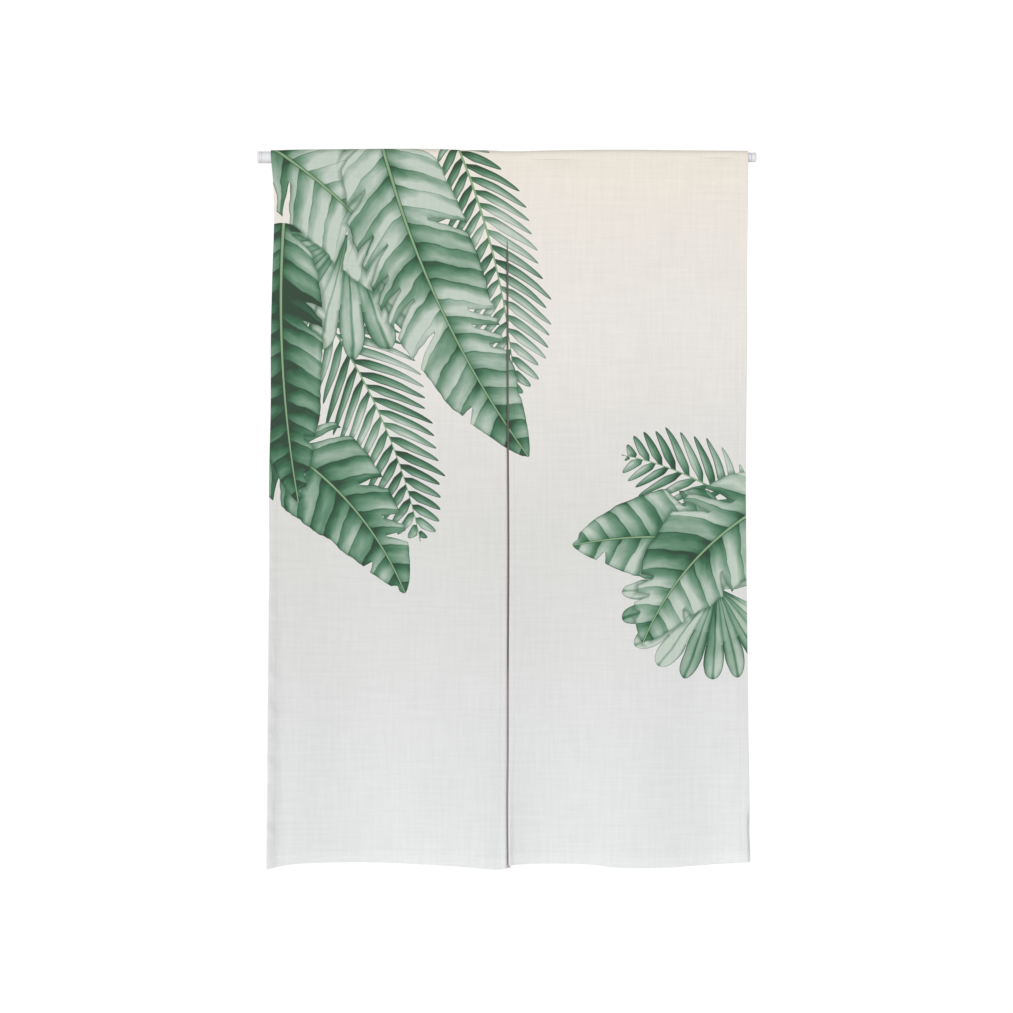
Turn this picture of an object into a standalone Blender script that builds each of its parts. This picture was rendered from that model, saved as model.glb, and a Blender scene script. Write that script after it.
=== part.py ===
"""A noren, a short split curtain, hung by its pocket on a telescopic tension rod.

Metres, +Z up. +X runs along the rod, and the curtain's front faces -Y. The origin is the
middle of the rod's left end face.
"""

import math

import bmesh
import bpy
from mathutils import Vector

MM = 0.001

# The rod
ROD_LENGTH = 835 * MM
OUTER_RADIUS = 10.0 * MM
OUTER_WALL = 1.7 * MM
OUTER_END_X = 372 * MM
INNER_RADIUS = 8.0 * MM
INNER_WALL = 1.5 * MM
INNER_START_X = 270 * MM
CAP_HEAD = 8 * MM
CAP_STEM = 18 * MM
CAP_ROUNDING = 2.2 * MM
FIT_GAP = 0.3 * MM
ROD_SIDES = 40
WELD_DISTANCE = 0.05 * MM

# The cloth
CLOTH_THICKNESS = 1.5 * MM
HEM_THICKNESS = 2.0 * MM
HALF_WIDTH = 398 * MM
HEM_Z = -1185 * MM
SIDE_HEM = 16 * MM
SLIT_HEM = 12 * MM
BOTTOM_HEM = 18 * MM
HEM_STEP = 1.5 * MM
CLOTH_ON_ROD_GAP = 0.45 * MM
POCKET_SEAM_Z = -36 * MM
SLIT_TOP_Z = -130 * MM
SLIT_TIP_WIDTH = 0.8 * MM
SLIT_WIDTH = 2.8 * MM
SLIT_TAPER = 45 * MM
# The slit's edges roll to the back, so the slit is a groove
ROLL_REACH = 2.4 * MM
ROLL_DEPTH = 7 * MM
# Between these the pocket narrows from the outer tube to the inner one
STEP_START_X = 380 * MM
STEP_END_X = 418 * MM

# How finely the cloth is divided
POCKET_STEPS = 18
POCKET_STRAIGHT_STEPS = 4
TAPER_ROWS = 3
PLAIN_ROWS = 24
PLAIN_COLUMNS = 9
# Columns in the roll at the slit, as shares of its reach
ROLL_COLUMNS = (1.0, 0.5, 0.2, 0.05, 0.0)

# Outlines in millimetres, each a short table that a smooth curve runs through
TOP_EDGE = (
    # x, height of the pocket's upper edge
    (22, 11.6),
    (70, 13.2),
    (140, 13.9),
    (230, 14.6),
    (300, 14.2),
    (365, 11.6),
    (430, 10.3),
    (490, 11.8),
    (607, 13.0),
    (700, 12.1),
    (822, 11.3),
)
SIDE_EDGES = (
    # z, x of the left edge, x of the right edge
    (20, 22.2, 821.5),
    (-88, 27.8, 821.2),
    (-200, 24.8, 819.8),
    (-300, 22.4, 820.2),
    (-420, 22.0, 818.7),
    (-540, 19.4, 818.0),
    (-680, 20.0, 819.0),
    (-820, 18.8, 820.8),
    (-975, 17.7, 822.4),
    (-1080, 17.2, 824.2),
    (-1195, 15.4, 826.0),
)
SLIT_LINE = (
    # z, x of the slit's middle
    (20, 418.6),
    (-130, 418.6),
    (-450, 419.4),
    (-650, 420.4),
    (-850, 419.6),
    (-1000, 419.4),
    (-1085, 418.5),
    (-1195, 419.2),
)
LEFT_HEM = (
    # x, z of the lower edge
    (14, -1191.7),
    (60, -1183.5),
    (150, -1181.3),
    (240, -1182.3),
    (330, -1186.6),
    (400, -1192.4),
    (419, -1190.6),
)
RIGHT_HEM = (
    # x, z of the lower edge
    (417, -1186.0),
    (470, -1183.7),
    (555, -1184.2),
    (600, -1189.2),
    (690, -1189.2),
    (740, -1186.0),
    (827, -1180.2),
)

# Soft folds, in millimetres. Each grows from its start and is full just above the hem's edge.
FULL_FOLD_Z = -1190
FOLDS = (
    # x of the middle, half width, depth at the hem towards the front, z where it starts
    (50, 48, 7.0, -420),
    (165, 80, -6.5, -150),
    (300, 85, 6.0, -300),
    (395, 30, 4.5, -900),
    (455, 34, -3.5, -820),
    (540, 70, -4.0, -250),
    (645, 80, 7.5, -180),
    (750, 60, -6.0, -330),
    (812, 26, 4.0, -700),
)

# Edges that curl, in millimetres
CURLS = (
    # edge, reach from the edge, depth towards the front, z where it starts
    ("left", 26, 7.0, -420),
    ("slit_left", 14, 2.4, -1000),
    ("slit_right", 9, 2.4, -960),
    ("right", 6, -3.0, -1085),
)

COLOURS = {
    # name: base colour, roughness, metallic
    "noren_cloth": ((0.80, 0.79, 0.74), 0.92, 0.0),
    "rod_outer_tube": ((0.78, 0.77, 0.79), 0.45, 0.0),
    "rod_inner_tube": ((0.80, 0.79, 0.82), 0.40, 0.0),
    "rod_cap_left": ((0.74, 0.73, 0.76), 0.60, 0.0),
    "rod_cap_right": ((0.74, 0.73, 0.77), 0.60, 0.0),
}


def clear_scene():
    for obj in list(bpy.data.objects):
        bpy.data.objects.remove(obj, do_unlink=True)


def collection(name):
    made = bpy.data.collections.new(name)
    bpy.context.scene.collection.children.link(made)
    return made


def material(name):
    colour, roughness, metallic = COLOURS[name]
    made = bpy.data.materials.new(name)
    made.use_nodes = True
    shader = made.node_tree.nodes["Principled BSDF"]
    shader.inputs["Base Color"].default_value = (*colour, 1)
    shader.inputs["Roughness"].default_value = roughness
    shader.inputs["Metallic"].default_value = metallic
    made.diffuse_color = (*colour, 1)
    return made


def smooth(share):
    """0 to 1 with flat ends."""
    share = min(max(share, 0.0), 1.0)
    return share * share * (3 - 2 * share)


def curve_through(rows, at, column=1):
    """The value in a column of rows at a place in column 0, on a smooth curve through the rows."""
    rows = sorted(rows)
    at = min(max(at, rows[0][0]), rows[-1][0])
    i = next(k for k in range(len(rows) - 1) if at <= rows[k + 1][0])

    def slope(k):
        low, high = max(k - 1, 0), min(k + 1, len(rows) - 1)
        return (rows[high][column] - rows[low][column]) / (rows[high][0] - rows[low][0])

    span = rows[i + 1][0] - rows[i][0]
    t = (at - rows[i][0]) / span
    start, end = rows[i][column], rows[i + 1][column]
    bend = slope(i) * span, slope(i + 1) * span
    return (
        (2 * t**3 - 3 * t**2 + 1) * start
        + (t**3 - 2 * t**2 + t) * bend[0]
        + (3 * t**2 - 2 * t**3) * end
        + (t**3 - t**2) * bend[1]
    )


def spaced(start, end, steps):
    return [start + (end - start) * k / steps for k in range(steps + 1)]


def column_shares():
    """Where the columns of one half stand, from 0 at its outer edge to 1 at the slit."""
    side, slit, step = SIDE_HEM / HALF_WIDTH, SLIT_HEM / HALF_WIDTH, HEM_STEP / HALF_WIDTH
    plain = spaced(side + step, 1 - slit - step, PLAIN_COLUMNS)
    roll = [1 - share * ROLL_REACH / HALF_WIDTH for share in ROLL_COLUMNS]
    return [0, side / 2, side, *plain, 1 - slit, *roll]


def row_heights():
    """Heights of the rows from the pocket's seam down to the hem's edge."""
    taper = spaced(SLIT_TOP_Z, SLIT_TOP_Z - SLIT_TAPER, TAPER_ROWS)
    hem_top = HEM_Z + BOTTOM_HEM
    plain = spaced(taper[-1], hem_top + HEM_STEP, PLAIN_ROWS)
    above_slit = [POCKET_SEAM_Z, (POCKET_SEAM_Z + SLIT_TOP_Z) / 2]
    return [*above_slit, *taper, *plain[1:], hem_top, HEM_Z + BOTTOM_HEM / 2, HEM_Z]


SHARES = column_shares()
HEIGHTS = row_heights()


def slit_half_width(z):
    share = smooth((SLIT_TOP_Z - z) / SLIT_TAPER)
    return (SLIT_TIP_WIDTH + share * (SLIT_WIDTH - SLIT_TIP_WIDTH)) / 2


def half_edges(side, z):
    """The x of a half's outer edge and of its edge at the slit, at a height."""
    middle = curve_through(SLIT_LINE, z / MM) * MM
    if side == "left":
        return curve_through(SIDE_EDGES, z / MM, 1) * MM, middle - slit_half_width(z)
    return curve_through(SIDE_EDGES, z / MM, 2) * MM, middle + slit_half_width(z)


def across(side, share, z):
    outer, inner = half_edges(side, z)
    return outer + share * (inner - outer)


def rod_radius(x):
    """The rod's radius as the pocket feels it: it steps down where the inner tube comes out."""
    share = smooth((x - STEP_START_X) / (STEP_END_X - STEP_START_X))
    return OUTER_RADIUS + share * (INNER_RADIUS - OUTER_RADIUS)


def pocket_point(step, x):
    """(y, z) of the pocket's mid-surface. The steps run from the seam up the back and over the rod."""
    radius = rod_radius(x) + CLOTH_ON_ROD_GAP + HEM_THICKNESS / 2
    top = max(curve_through(TOP_EDGE, x / MM) * MM - CLOTH_THICKNESS / 2, radius)
    leaves_rod = math.asin(radius / -POCKET_SEAM_Z)
    from_seam = min(step, POCKET_STEPS - step)
    if from_seam < POCKET_STRAIGHT_STEPS:
        share = from_seam / POCKET_STRAIGHT_STEPS
        side = 1 if step == from_seam else -1
        y = side * share * radius * math.cos(leaves_rod)
        z = -radius * math.sin(leaves_rod)
        return y, POCKET_SEAM_Z + share * (z - POCKET_SEAM_Z)
    share = (step - POCKET_STRAIGHT_STEPS) / (POCKET_STEPS - 2 * POCKET_STRAIGHT_STEPS)
    angle = -leaves_rod + share * (math.pi + 2 * leaves_rod)
    height = radius if math.sin(angle) < 0 else top
    return radius * math.cos(angle), height * math.sin(angle)


def grown(start, z):
    """How much of a fold or curl there is at a height: 0 at its start, 1 at the hem."""
    return smooth((start - z / MM) / (start - FULL_FOLD_Z))


def fold_depth(x, z):
    """How far the hanging cloth stands towards the front."""
    depth = 0.0
    for middle, half_width, at_hem, start in FOLDS:
        off = (x / MM - middle) / half_width
        depth += at_hem * grown(start, z) * math.exp(-0.5 * off * off)
    return depth * MM


def curl_depth(side, x, z):
    """How far an edge's curl takes the cloth towards the front."""
    outer, inner = half_edges(side, z)
    edges = {side: outer, "slit_" + side: inner}
    depth = 0.0
    for edge, reach, at_hem, start in CURLS:
        if edge in edges:
            near = smooth(1 - abs(x - edges[edge]) / (reach * MM))
            depth += at_hem * near * grown(start, z)
    return depth * MM


def roll_depth(side, x, z):
    """How far the roll at the slit takes the cloth towards the back: a quarter of an ellipse."""
    off = min(abs(x - half_edges(side, z)[1]) / ROLL_REACH, 1.0)
    opened = smooth((SLIT_TOP_Z - z) / SLIT_TAPER)
    return ROLL_DEPTH * opened * (1 - math.sqrt(1 - (1 - off) ** 2))


def hem_z(side, x):
    return curve_through(LEFT_HEM if side == "left" else RIGHT_HEM, x / MM) * MM


def tail_point(row, side, share):
    """A point of the hanging cloth, from the seam at row 0 down to the hem."""
    down = (HEIGHTS[row] - POCKET_SEAM_Z) / (HEM_Z - POCKET_SEAM_Z)
    hem = hem_z(side, across(side, share, HEM_Z))
    z = POCKET_SEAM_Z + down * (hem - POCKET_SEAM_Z)
    x = across(side, share, z)
    return Vector((x, roll_depth(side, x, z) - fold_depth(x, z) - curl_depth(side, x, z), z))


def hung_point(row, side, share):
    """Where a point of the flat cloth hangs. The rows start at the pocket's sewn end, behind the rod."""
    if row >= POCKET_STEPS:
        return tail_point(row - POCKET_STEPS, side, share)
    y, z = pocket_point(row, across(side, share, 0))
    return Vector((across(side, share, z), y, z))


def noren_cloth():
    """One cloth: a flat grid that is slit, hung over the rod and sewn to itself at the pocket's seam."""
    columns = [("left", share) for share in SHARES] + [("right", share) for share in reversed(SHARES)]
    last_row, last_column = POCKET_STEPS + len(HEIGHTS) - 1, len(columns) - 1
    slit_row = POCKET_STEPS + HEIGHTS.index(SLIT_TOP_Z)
    slit_column = len(SHARES) - 1

    cloth = bmesh.new()
    thicker = cloth.verts.layers.deform.verify()
    bmesh.ops.create_grid(cloth, x_segments=last_column, y_segments=last_row, size=1)
    place = {}
    for vert in cloth.verts:
        column = round((vert.co.x + 1) / 2 * last_column)
        place[vert] = round((1 - vert.co.y) / 2 * last_row), column

    def in_slit(face):
        rows, across_slit = zip(*(place[vert] for vert in face.verts))
        return min(rows) >= slit_row and set(across_slit) == {slit_column, slit_column + 1}

    def in_hem(row, column):
        share = columns[column][1]
        at_side = share <= SIDE_HEM / HALF_WIDTH
        at_slit = share >= 1 - SLIT_HEM / HALF_WIDTH and row >= slit_row
        at_bottom = row >= POCKET_STEPS and HEIGHTS[row - POCKET_STEPS] <= HEM_Z + BOTTOM_HEM
        return at_side or at_slit or at_bottom

    cut = [face for face in cloth.faces if in_slit(face)]
    bmesh.ops.delete(cloth, geom=cut, context="FACES_ONLY")
    for vert, (row, column) in place.items():
        vert.co = hung_point(row, *columns[column])
        vert[thicker][0] = 1.0 if in_hem(row, column) else 0.0
    bmesh.ops.remove_doubles(cloth, verts=cloth.verts, dist=WELD_DISTANCE)

    mesh = bpy.data.meshes.new("noren_cloth")
    cloth.to_mesh(mesh)
    cloth.free()
    mesh.shade_smooth()
    made = bpy.data.objects.new("noren_cloth", mesh)
    made.vertex_groups.new(name="hems")
    thick = made.modifiers.new("cloth thickness", "SOLIDIFY")
    thick.solidify_mode = "NON_MANIFOLD"
    thick.nonmanifold_thickness_mode = "CONSTRAINTS"
    thick.thickness = HEM_THICKNESS
    thick.vertex_group = "hems"
    thick.thickness_vertex_group = CLOTH_THICKNESS / HEM_THICKNESS
    thick.offset = 0
    return made


def turned(name, profile):
    """A solid turned round the rod's axis, from a profile of (distance along the rod, radius)."""
    mesh = bpy.data.meshes.new(name)
    points = [(radius, 0, along) for along, radius in profile]
    mesh.from_pydata(points, [(k, k + 1) for k in range(len(points) - 1)], [])
    made = bpy.data.objects.new(name, mesh)
    made.rotation_euler = (0, math.pi / 2, 0)
    spin = made.modifiers.new("turn", "SCREW")
    spin.steps = ROD_SIDES
    spin.render_steps = ROD_SIDES
    spin.use_merge_vertices = True
    spin.merge_threshold = WELD_DISTANCE
    spin.use_smooth_shade = True
    return made


def tube(name, start, end, radius, wall):
    rim = [(end, radius), (start, radius), (start, radius - wall), (end, radius - wall)]
    return turned(name, rim + rim[:1])


def cap(name, end_x, inward, radius, bore):
    """A plug: a head with a rounded rim outside the tube, and a stem inside it."""
    stem = bore - FIT_GAP
    inner_end = CAP_HEAD + CAP_STEM
    outline = [(inner_end, 0), (inner_end, stem), (CAP_HEAD, stem), (CAP_HEAD, radius)]
    corner = 5
    for k in range(corner + 1):
        angle = k / corner * math.pi / 2
        along = CAP_ROUNDING * (1 - math.sin(angle))
        outline.append((along, radius - CAP_ROUNDING * (1 - math.cos(angle))))
    outline.append((0, 0))
    points = [(end_x + inward * along, r) for along, r in outline]
    return turned(name, points if inward > 0 else points[::-1])


def main():
    clear_scene()
    noren = collection("noren_on_tension_rod")
    pieces = [
        noren_cloth(),
        tube("rod_outer_tube", CAP_HEAD + FIT_GAP, OUTER_END_X, OUTER_RADIUS, OUTER_WALL),
        tube("rod_inner_tube", INNER_START_X, ROD_LENGTH - CAP_HEAD - FIT_GAP, INNER_RADIUS, INNER_WALL),
        cap("rod_cap_left", 0, 1, OUTER_RADIUS, OUTER_RADIUS - OUTER_WALL),
        cap("rod_cap_right", ROD_LENGTH, -1, INNER_RADIUS, INNER_RADIUS - INNER_WALL),
    ]
    for piece in pieces:
        noren.objects.link(piece)
        piece.data.materials.append(material(piece.name))


if __name__ == "__main__":
    main()
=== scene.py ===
"""Dresses a noren, a short split curtain, on its telescopic tension rod.

The printed cloth, its stitching, the rod and the stage are each made by an operator of their
own, from the sizes and colours in a property group. Metres, +Z up. +X runs along the rod, and
the curtain's front faces -Y. The shape tables are the CAD part's own.
"""

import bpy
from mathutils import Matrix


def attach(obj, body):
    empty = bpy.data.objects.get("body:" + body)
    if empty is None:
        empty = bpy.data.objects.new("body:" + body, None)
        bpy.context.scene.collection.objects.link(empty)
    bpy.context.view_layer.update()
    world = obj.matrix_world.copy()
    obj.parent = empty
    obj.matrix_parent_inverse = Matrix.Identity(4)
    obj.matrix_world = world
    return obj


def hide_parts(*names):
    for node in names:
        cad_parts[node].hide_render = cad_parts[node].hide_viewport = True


bl_info = {
    "name": "Noren on a Tension Rod",
    "version": (1, 0, 0),
    "blender": (4, 5, 0),
    "location": "3D Viewport > Sidebar > Noren",
    "description": "Makes a printed noren with its hems, stitching and rod, and a plain stage",
    "category": "Object",
}

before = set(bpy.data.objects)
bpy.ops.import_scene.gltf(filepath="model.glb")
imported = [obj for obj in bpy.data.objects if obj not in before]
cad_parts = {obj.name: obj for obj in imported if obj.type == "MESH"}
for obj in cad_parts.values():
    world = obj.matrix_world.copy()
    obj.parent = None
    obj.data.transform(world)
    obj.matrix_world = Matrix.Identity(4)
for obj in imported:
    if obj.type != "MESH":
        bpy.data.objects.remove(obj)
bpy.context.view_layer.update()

import math

import bpy
import numpy as np
from bpy.props import FloatProperty, FloatVectorProperty, IntProperty, PointerProperty
from mathutils import Vector

MM = 0.001

# The rod
ROD_LENGTH = 835 * MM
OUTER_RADIUS = 10.0 * MM
OUTER_WALL = 1.7 * MM
OUTER_END_X = 372 * MM
INNER_RADIUS = 8.0 * MM
INNER_WALL = 1.5 * MM
INNER_START_X = 270 * MM
CAP_HEAD = 8 * MM
CAP_STEM = 18 * MM
FIT_GAP = 0.3 * MM

# The cloth as it hangs
CAD_HEM_THICKNESS = 2.0 * MM
CAD_CLOTH_THICKNESS = 1.5 * MM
HALF_WIDTH = 398 * MM
HEM_Z = -1185 * MM
SIDE_HEM = 16 * MM
SLIT_HEM = 12 * MM
BOTTOM_HEM = 18 * MM
CLOTH_ON_ROD_GAP = 0.45 * MM
POCKET_SEAM_Z = -36 * MM
TURNED_END_Z = -42 * MM
TURNED_END_BEHIND = 1.0 * MM
TURNED_HEM_BEHIND = 2.2 * MM
SLIT_TOP_Z = -130 * MM
SLIT_TIP_WIDTH = 0.8 * MM
SLIT_WIDTH = 2.8 * MM
SLIT_TAPER = 45 * MM
ROLL_REACH = 2.4 * MM
ROLL_DEPTH = 7 * MM
# Past its roll, the left half's edge lies a little way behind the right half
LIP_WIDTH = 6 * MM
LIP_TURN = 2 * MM
STEP_START_X = 380 * MM
STEP_END_X = 418 * MM

# How finely the cloth is divided
STRAIGHT_ROWS = 9
FRONT_ROWS = 24
ROUND_ROWS = 32
ABOVE_SLIT_ROWS = 16
TAPER_ROWS = 14
PLAIN_ROWS = 160
PLAIN_COLUMNS = 50
# Lines beside a free edge, as shares of the hem's width. The stitches run on one of them.
HEM_LINES = (0, 0.02, 0.06, 0.12, 0.2, 0.3, 0.4, 0.52, 0.66, 0.78, 0.84, 0.9, 0.97, 1.06, 1.2)
LIP_LINES = (0.03, 0.1, 0.2, 0.33, 0.55, 0.8, 0.93, 1.0)
STITCH_LINE = 0.84
STITCH_TROUGH_WIDTH = 0.035
SEAM_TROUGH_ROWS = 0.9
HEM_STEP = (0.97, 1.06)
RIM_STEPS = 5
SEAM_LINES = (-1.6 * MM, -0.8 * MM, 0, 0.8 * MM, 1.6 * MM)

# Outlines in millimetres, each a short table that a smooth curve runs through
TOP_EDGE = (
    # x, height of the pocket's upper edge
    (22, 11.6),
    (70, 13.2),
    (140, 13.9),
    (230, 14.6),
    (300, 14.2),
    (365, 11.6),
    (430, 10.3),
    (490, 11.8),
    (607, 13.0),
    (700, 12.1),
    (822, 11.3),
)
SIDE_EDGES = (
    # z, x of the left edge, x of the right edge
    (20, 22.2, 821.5),
    (-88, 27.8, 821.2),
    (-200, 24.8, 819.8),
    (-300, 22.4, 820.2),
    (-420, 22.0, 818.7),
    (-540, 19.4, 818.0),
    (-680, 20.0, 819.0),
    (-820, 18.8, 820.8),
    (-975, 17.7, 822.4),
    (-1080, 17.2, 824.2),
    (-1195, 15.4, 826.0),
)
SLIT_LINE = (
    # z, x of the slit's middle
    (20, 418.6),
    (-130, 418.6),
    (-450, 419.4),
    (-650, 420.4),
    (-850, 419.6),
    (-1000, 419.4),
    (-1085, 418.5),
    (-1195, 419.2),
)
LEFT_HEM = (
    # x, z of the lower edge
    (14, -1191.7),
    (60, -1183.5),
    (150, -1181.3),
    (240, -1182.3),
    (330, -1186.6),
    (400, -1192.4),
    (419, -1190.6),
)
RIGHT_HEM = (
    # x, z of the lower edge
    (417, -1186.0),
    (470, -1183.7),
    (555, -1184.2),
    (600, -1189.2),
    (690, -1189.2),
    (740, -1186.0),
    (827, -1180.2),
)

SIDES = {"left": -1, "right": 1}
# Soft folds, in millimetres. Each grows from its start and is full just above the hem's edge.
FULL_FOLD_Z = -1190
FOLDS = (
    # x of the middle, half width, depth at the hem towards the front, z where it starts
    (50, 48, 7.0, -420),
    (165, 80, -6.5, -150),
    (300, 85, 6.0, -300),
    (395, 30, 4.5, -900),
    (455, 34, -3.5, -820),
    (540, 70, -4.0, -250),
    (645, 80, 7.5, -180),
    (750, 60, -6.0, -330),
    (812, 26, 4.0, -700),
)
# Edges that curl, in millimetres. Each row's side is the half that it is on.
CURLS = (
    # side, edge, reach from the edge, depth towards the front, z where it starts
    ("left", "outer", 26, 7.0, -420),
    ("left", "slit", 14, 2.4, -1000),
    ("right", "slit", 9, 2.4, -960),
    ("right", "outer", 6, -3.0, -1085),
)
# Small slanting puckers along the side hems, in millimetres
PUCKERS = (
    # side, z at the edge, half height, reach from the edge, depth towards the front, slant
    ("left", -668, 5, 18, 1.2, 0.4),
    ("left", -712, 6, 20, 1.2, 0.6),
    ("left", -756, 5, 20, 1.6, 0.7),
    ("left", -812, 6, 18, 1.5, 0.4),
    ("left", -856, 5, 20, 2.4, 0.6),
    ("left", -880, 5, 18, -1.6, 0.5),
    ("left", -918, 6, 22, 2.4, 0.7),
    ("left", -960, 5, 20, 2.0, 0.5),
    ("left", -1010, 6, 22, 2.8, 0.8),
    ("left", -1043, 5, 20, -1.8, 0.6),
    ("left", -1084, 6, 20, 1.6, 0.6),
    ("left", -1122, 5, 22, 3.0, 0.8),
    ("left", -1152, 5, 20, 1.6, 0.5),
    ("right", -1130, 17, 5, -12.0, 0.0),
)
# Soft tucks across the pocket's front, in millimetres: below each the cloth stands out a little
ROD_TUCKS = (
    # x of the middle, half length, z of its upper side, height, how far the cloth stands out
    (494, 28, -3.6, 3.6, 4.2),
    (770, 22, -1.5, 3.4, 3.2),
)
TUCK_FADE = 9
# The cloth is never quite flat: long shallow waves, in millimetres
WAVES = (
    # wave length across, wave length down, turn in radians, depth
    (310, -930, 0.4, 0.45),
    (173, 610, 1.9, 0.30),
    (-97, 410, 3.3, 0.16),
    (640, 133, 5.1, 0.18),
)

# The printed leaves, in millimetres and degrees. A heading of 0 is to the right, and -90 is down.
LEAVES = (
    # kind and layer, x, z of the foot, heading, length, half width, bend, tone
    ("feather back", -20, -110, -44, 610, 95, -34, 0.70),
    ("feather back", 318, 60, -66, 470, 84, -20, 0.76),
    ("feather back", 872, -640, 134, 292, 74, 34, 0.80),
    ("fan", 150, -130, -70, 205, 205, 0, 0.70),
    ("fan", 770, -720, 216, 165, 165, 0, 0.72),
    ("paddle back", -50, 62, -28, 520, 88, -34, 0.80),
    ("paddle back", -75, -430, -18, 455, 82, -50, 0.66),
    ("paddle back", 868, -668, 162, 345, 84, 30, 0.80),
    ("paddle front", 196, 78, -78, 640, 94, 24, 0.72),
    ("paddle front", 44, -110, -94, 470, 70, 14, 0.52),
    ("paddle front", 884, -566, 204, 352, 84, 44, 0.70),
)
LAYER_ORDER = ("feather back", "fan", "paddle back", "paddle front")
# A leaf's own coordinates reach this far past it, so that its whole outline is drawn
LEAF_MARGIN = 12 * MM


def smooth(share):
    """0 to 1 with flat ends."""
    share = np.clip(share, 0.0, 1.0)
    return share * share * (3 - 2 * share)


def bell(offset):
    return np.exp(-0.5 * offset * offset)


def curve_through(rows, at, column=1):
    """The values in a column of rows at places in column 0, on a smooth curve through the rows."""
    rows = np.array(sorted(rows), float)
    place, value = rows[:, 0], rows[:, column]
    low = np.maximum(np.arange(len(rows)) - 1, 0)
    high = np.minimum(np.arange(len(rows)) + 1, len(rows) - 1)
    slope = (value[high] - value[low]) / (place[high] - place[low])
    at = np.clip(at, place[0], place[-1])
    i = np.clip(np.searchsorted(place, at) - 1, 0, len(rows) - 2)
    span = place[i + 1] - place[i]
    t = (at - place[i]) / span
    return (
        (2 * t**3 - 3 * t**2 + 1) * value[i]
        + (t**3 - 2 * t**2 + t) * slope[i] * span
        + (3 * t**2 - 2 * t**3) * value[i + 1]
        + (t**3 - t**2) * slope[i + 1] * span
    )


def slit_half_width(z):
    share = smooth((SLIT_TOP_Z - z) / SLIT_TAPER)
    return (SLIT_TIP_WIDTH + share * (SLIT_WIDTH - SLIT_TIP_WIDTH)) / 2


def half_edges(side, z):
    """The x of a half's outer edge and of its edge at the slit. side is -1 left, 1 right."""
    left = curve_through(SIDE_EDGES, z / MM, 1)
    right = curve_through(SIDE_EDGES, z / MM, 2)
    middle = curve_through(SLIT_LINE, z / MM) * MM
    return np.where(side < 0, left, right) * MM, middle + side * slit_half_width(z)


def across(side, share, z):
    outer, inner = half_edges(side, z)
    return outer + share * (inner - outer)


def rod_radius(x):
    share = smooth((x - STEP_START_X) / (STEP_END_X - STEP_START_X))
    return OUTER_RADIUS + share * (INNER_RADIUS - OUTER_RADIUS)


def grown(start, z):
    """How much of a fold there is at a height: 0 at its start, 1 at the hem."""
    return smooth((start - z / MM) / (start - FULL_FOLD_Z))


def fold_depth(x, z):
    """How far the hanging cloth stands towards the front."""
    depth = 0.0
    for middle, half_width, at_hem, start in FOLDS:
        depth = depth + at_hem * grown(start, z) * bell((x / MM - middle) / half_width)
    for across_length, down_length, turn, at_hem in WAVES:
        angle = 2 * math.pi * (x / MM / across_length + z / MM / down_length) + turn
        depth = depth + at_hem * smooth((POCKET_SEAM_Z - z) / (80 * MM)) * np.sin(angle)
    return depth * MM


def edge_depth(side, x, z):
    """How far the curls and puckers take the cloth's edges towards the front."""
    edges = dict(zip(("outer", "slit"), half_edges(side, z)))
    depth = 0.0
    for half, edge, reach, at_hem, start in CURLS:
        near = smooth(1 - np.abs(x - edges[edge]) / (reach * MM))
        depth = depth + (side == SIDES[half]) * at_hem * near * grown(start, z)
    for half, height, half_height, reach, raised, slant in PUCKERS:
        off = np.abs(x - edges["outer"]) / MM
        along = (z / MM - height + slant * off) / half_height
        depth = depth + (side == SIDES[half]) * raised * bell(along) * smooth(1 - off / reach)
    return depth * MM


def roll_depth(side, x, z):
    """How far the roll at the slit takes the cloth towards the back: a quarter of an ellipse."""
    off = np.minimum(np.abs(x - half_edges(side, z)[1]) / ROLL_REACH, 1.0)
    opened = smooth((SLIT_TOP_Z - z) / SLIT_TAPER)
    return ROLL_DEPTH * opened * (1 - np.sqrt(1 - (1 - off) ** 2))


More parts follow.
